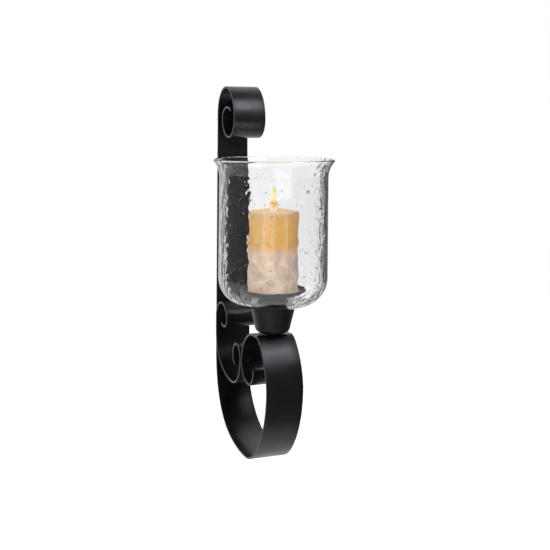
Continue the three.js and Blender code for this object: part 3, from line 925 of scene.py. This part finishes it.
def pan_screw():
    """Threaded countersunk screw with a round drive in its head."""
    low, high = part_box("pan_screw")
    length = high.z - low.z
    rows = [(0, 0), (1.6 * MM, 0)]
    for i in range(PAN_THREADS):
        rows += [(PAN_SHANK, 0.5 * MM + i * PITCH), (PAN_CORE, 0.9 * MM + i * PITCH)]
    rows += [(PAN_SHANK, length - PAN_HEAD), (high.x, length - 0.1 * MM), (high.x, length), (0, length)]
    piece = turned("pan_screw_countersunk", rows, 48, on_axis(low.z))
    cut(piece, [drill(MM, on_axis(high.z - DRIVE_DEPTH), 2 * MM, (0, 0, 1))])
    show(piece, "pan", "steel", STEEL, "pan_screw")


CANDLE_EDGE = 2 * MM
CANDLE_FOOT = 1.2 * MM
WICK_BORE = 1.6 * MM
RIDGE = 0.75 * MM
# Inside this radius the candle is flat and level.
SIDE_STARTS = 20 * MM
# Each drip: its angle in degrees to the right of straight out from the wall, and in millimetres
# how far down it runs and its half width.
DRIPS = [
    (-45, 73, 2.6), (-21, 73, 2.2), (9, 84, 2.4), (74, 48, 2.2),
    (128, 80, 2.4), (171, 60, 2.0), (-142, 76, 2.3), (-95, 41, 2.0),
]


def drip_share(point):
    """How much of a wax drip there is at a point of the candle's side, 0 to 1."""
    share = 0.0
    if math.hypot(point.x, point.y) < SIDE_STARTS:
        return share
    for angle, run, width in DRIPS:
        a = math.radians(angle)
        if point.y * math.cos(a) - point.x * math.sin(a) > 0:
            continue
        wander = 1.3 * MM * noise.noise(Vector((angle, 0, point.z / (22 * MM))))
        across = point.x * math.cos(a) + point.y * math.sin(a) + wander
        above_end = point.z - (CANDLE_TOP - CANDLE_BASE - run * MM)
        end = 1 / (1 + math.exp(-4 * above_end / (5 * MM)))
        bead = 1 + 0.5 * math.exp(-((above_end - 2 * MM) / (3 * MM)) ** 2)
        share = max(share, bead * end * math.exp(-(across / (width * MM)) ** 2))
    return share


def candle():
    """Pillar with a melted top, lumps and drips, and the share of drip at each point for the wax."""
    height = CANDLE_TOP - CANDLE_BASE
    low, high = CANDLE_RADIUS
    rows = [(WICK_BORE, 0), (low / 2, 0), (low - CANDLE_FOOT, 0)]
    rows += arc((low - CANDLE_FOOT, CANDLE_FOOT), (CANDLE_FOOT, CANDLE_FOOT), -60, 0, 3)
    rows += line_rows((low, CANDLE_FOOT), (high, height - CANDLE_EDGE), 84)
    rows += arc((high - CANDLE_EDGE, height - CANDLE_EDGE), (CANDLE_EDGE, CANDLE_EDGE), 0, 90, 9)
    start, end = Vector((high - CANDLE_EDGE, height)), Vector((4 * MM, height - 2.6 * MM))
    pool = [bezier(start, start - Vector((6 * MM, 0)), end + Vector((14 * MM, -0.3 * MM)), end, i / 14)
            for i in range(1, 15)]
    rows += [(p.x, p.y) for p in pool] + [(WICK_BORE, height - POOL_DEPTH)]

    def melt(point, row):
        radius = math.hypot(point.x, point.y)
        out = Vector((point.x, point.y, 0)).normalized()
        side = min(1.0, max(0.0, (radius - SIDE_STARTS) / (10 * MM))) * min(1.0, point.z / (3 * MM))
        lumps = 0.25 * MM * noise.noise(point / (17 * MM)) + 0.14 * MM * noise.noise(point / (5 * MM))
        ridge = RIDGE * drip_share(point)
        sag = 1.1 * MM * noise.noise(Vector((point.x, point.y, 9)) / (14 * MM))
        rim = max(0.0, min(1.0, (point.z - height + 7 * MM) / (6 * MM))) * side
        return point + out * side * (lumps + ridge - RIDGE) + Vector((0, 0, rim * (sag - 0.6 * MM)))

    verts, faces = lathe(rows, 240, melt)
    shares = [min(1.0, drip_share(v)) for v in verts]
    place = Vector(on_axis(CANDLE_BASE))
    piece = new_object("candle_wax", [v + place for v in verts], faces, 60)
    drip = piece.data.attributes.new("drip", "FLOAT", "POINT")
    drip.data.foreach_set("value", shares)
    show(piece, "candle", "wax", wax_material(), "candle")


def wick():
    """Three twisted strands, leaning a little above the wax."""
    radius, box = 1.15 * MM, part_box("wick")
    length = box[1].z - box[0].z
    free = WAX_POOL - box[0].z
    rows = [(0, 0), (radius, 0)] + line_rows((radius, 0), (radius, length), 150)
    rows += [(0.7 * radius, length - 0.3 * MM), (0, length)]

    def twist(point, row):
        turn = math.atan2(point.y, point.x)
        strands = 1 + 0.1 * math.cos(3 * turn + point.z / (1.1 * MM))
        up = max(0.0, point.z - free)
        lean = Vector((0.9 * MM * (up / (9 * MM)) ** 2, -0.5 * MM * (up / (9 * MM)) ** 2, 0))
        return Vector((point.x * strands, point.y * strands, point.z)) + lean

    verts, faces = lathe(rows, 30, twist)
    place = Vector(on_axis(box[0].z))
    piece = new_object("wick_braid", [v + place for v in verts], faces, 60)
    show(piece, "candle", "wick", wick_material(), "wick")


def flame(steps=16):
    """Bulb round the wick, drawn in at a waist and out again into a teardrop."""
    tall = FLAME_TIP - FLAME_BASE
    waist = (3.6, 18)
    bulb = [Vector(p) * MM for p in ((1.2, 0), (6.8, 5), (5.6, 14), waist)]
    teardrop = [Vector(p) * MM for p in (waist, (4.4, 24), (3.4, 31), (0, tall / MM))]
    outline = [bezier(*bulb, i / steps) for i in range(steps + 1)]
    outline += [bezier(*teardrop, i / steps) for i in range(1, steps)]
    rows = [(0, 0)] + [(p.x, p.y) for p in outline] + [(0, tall)]

    def flicker(point, row):
        up = point.z / tall
        return point + Vector((0.5 * MM * math.sin(3 * up), -0.3 * MM * up, 0))

    verts, faces = lathe(rows, 48, flicker)
    place = Vector(on_axis(FLAME_BASE))
    piece = new_object("flame", [v + place for v in verts], faces, 60)
    piece.data.materials.append(flame_material())
    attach(piece, "candle")
    piece.visible_diffuse = False
    piece.visible_shadow = False


bars()
rivets()
cup()
cup_fixings()
gasket()
glass_shade()
pan_dish()
pan_post()
pan_screw()
candle()
wick()
flame()


# ---- stage -------------------------------------------------------------------------------------
FLOOR_RADIUS, FLOOR_DROP = 2.2, 0.2


def floor():
    """Pale round sheet with a softly curled edge, under the object."""
    height = BOTTOM - FLOOR_DROP
    rows = [(0, height), (0.97 * FLOOR_RADIUS, height), (FLOOR_RADIUS, height + 0.004 * FLOOR_RADIUS)]
    piece = new_object("floor", *lathe(rows, 96))
    n = Nodes("pale_floor")
    n.set(
        Base_Color=n.ramp(n.noise(30, detail=5), [(0.3, (0.86, 0.86, 0.86)), (0.7, (0.9, 0.9, 0.9))]),
        Roughness=0.8,
        Emission_Color=(1, 1, 1, 1),
        Emission_Strength=0.62,
    )
    piece.data.materials.append(n.material)
    piece.visible_diffuse = False
    piece.visible_glossy = False
    piece.visible_shadow = False


# Where a second, weaker light comes from: low, in front and to the left.
LOW_LEFT = (-0.568, -0.530, -0.629)


class Sky(Nodes):
    """World whose brightness depends on the direction, as a small studio's would."""

    def __init__(self):
        world = bpy.data.worlds.new("studio")
        bpy.context.scene.world = world
        world.use_nodes = True
        self.tree = world.node_tree
        self.background = self.tree.nodes["Background"]


def studio():
    """White seen directly or through glass. As a light: backdrop behind, dimmer above, dim in front."""
    n = Sky()
    direction = n.add("ShaderNodeTexCoord").outputs["Generated"]
    split = n.add("ShaderNodeSeparateXYZ")
    n.link(direction, split.inputs["Vector"])
    x, y, z = (split.outputs[axis] for axis in "XYZ")
    sideways = n.remap(n.math("ABSOLUTE", x), 0.38, 0.75, 1.0, 0.2)
    behind = n.math("MULTIPLY", n.remap(y, -0.08, 0.28), sideways)
    above = n.math("MULTIPLY", n.remap(z, 0.6, 0.86, 0.0, 0.42), n.remap(z, 0.88, 0.99, 1.0, 0.3))
    below = n.remap(z, -0.70, -0.98)
    front = n.remap(x, 0.3, 0.75, 0.17, 0.05)
    dot = n.add("ShaderNodeVectorMath")
    dot.operation = "DOT_PRODUCT"
    n.link(direction, dot.inputs[0])
    dot.inputs[1].default_value = LOW_LEFT
    low_left = n.remap(dot.outputs["Value"], 0.82, 0.98, 0.0, 0.55)
    level = front
    for part in (behind, above, below, low_left):
        level = n.math("MAXIMUM", level, part)
    path = n.add("ShaderNodeLightPath")
    unreflected = n.math("LESS_THAN", path.outputs["Glossy Depth"], 0.5)
    through = n.math("MULTIPLY", path.outputs["Is Transmission Ray"], unreflected)
    direct = n.math("MAXIMUM", path.outputs["Is Camera Ray"], through)
    n.link(n.mix(direct, level, (1, 1, 1)), n.background.inputs["Color"])


def area_light(name, azimuth, elevation, distance, size, power, colour=(1, 1, 1)):
    """Square lamp that looks at the target from a direction."""
    data = bpy.data.lights.new(name, "AREA")
    data.shape, data.size, data.size_y = "RECTANGLE", size, size
    data.energy, data.color = power, colour
    light = bpy.data.objects.new(name, data)
    back = direction_to(azimuth, elevation)
    light.location = TARGET + back * distance
    light.rotation_euler = back.to_track_quat("Z", "Y").to_euler()
    bpy.context.scene.collection.objects.link(light)
    return light


TARGET = Vector((0, -0.100, (TOP + BOTTOM) / 2))
CAMERA_AZIMUTH, CAMERA_ELEVATION, CAMERA_ROLL = -21.26, 9.3, 0.38
CAMERA_DISTANCE = 1.399
LENS = 63.0
SHIFT = (0.0359, -0.0051)


def camera():
    """Camera at the picture's viewing angle."""
    data = bpy.data.cameras.new("camera")
    data.lens, data.sensor_width = LENS, 36
    data.shift_x, data.shift_y = SHIFT
    view = bpy.data.objects.new("camera", data)
    back = direction_to(CAMERA_AZIMUTH, CAMERA_ELEVATION)
    view.location = TARGET + back * CAMERA_DISTANCE
    turn = back.to_track_quat("Z", "Y") @ Euler((0, 0, math.radians(CAMERA_ROLL))).to_quaternion()
    view.rotation_euler = turn.to_euler()
    bpy.context.scene.collection.objects.link(view)
    bpy.context.scene.camera = view


floor()
studio()
area_light("softbox", 21, 47, distance=1.6, size=0.8, power=10.4, colour=(0.88, 0.89, 1.0))
fill = area_light("fill", -44, 14, distance=2.6, size=2.0, power=30)
fill.visible_glossy = False
camera()
settings = bpy.context.scene.view_settings
settings.view_transform, settings.look, settings.exposure, settings.gamma = "Standard", "None", 0, 1
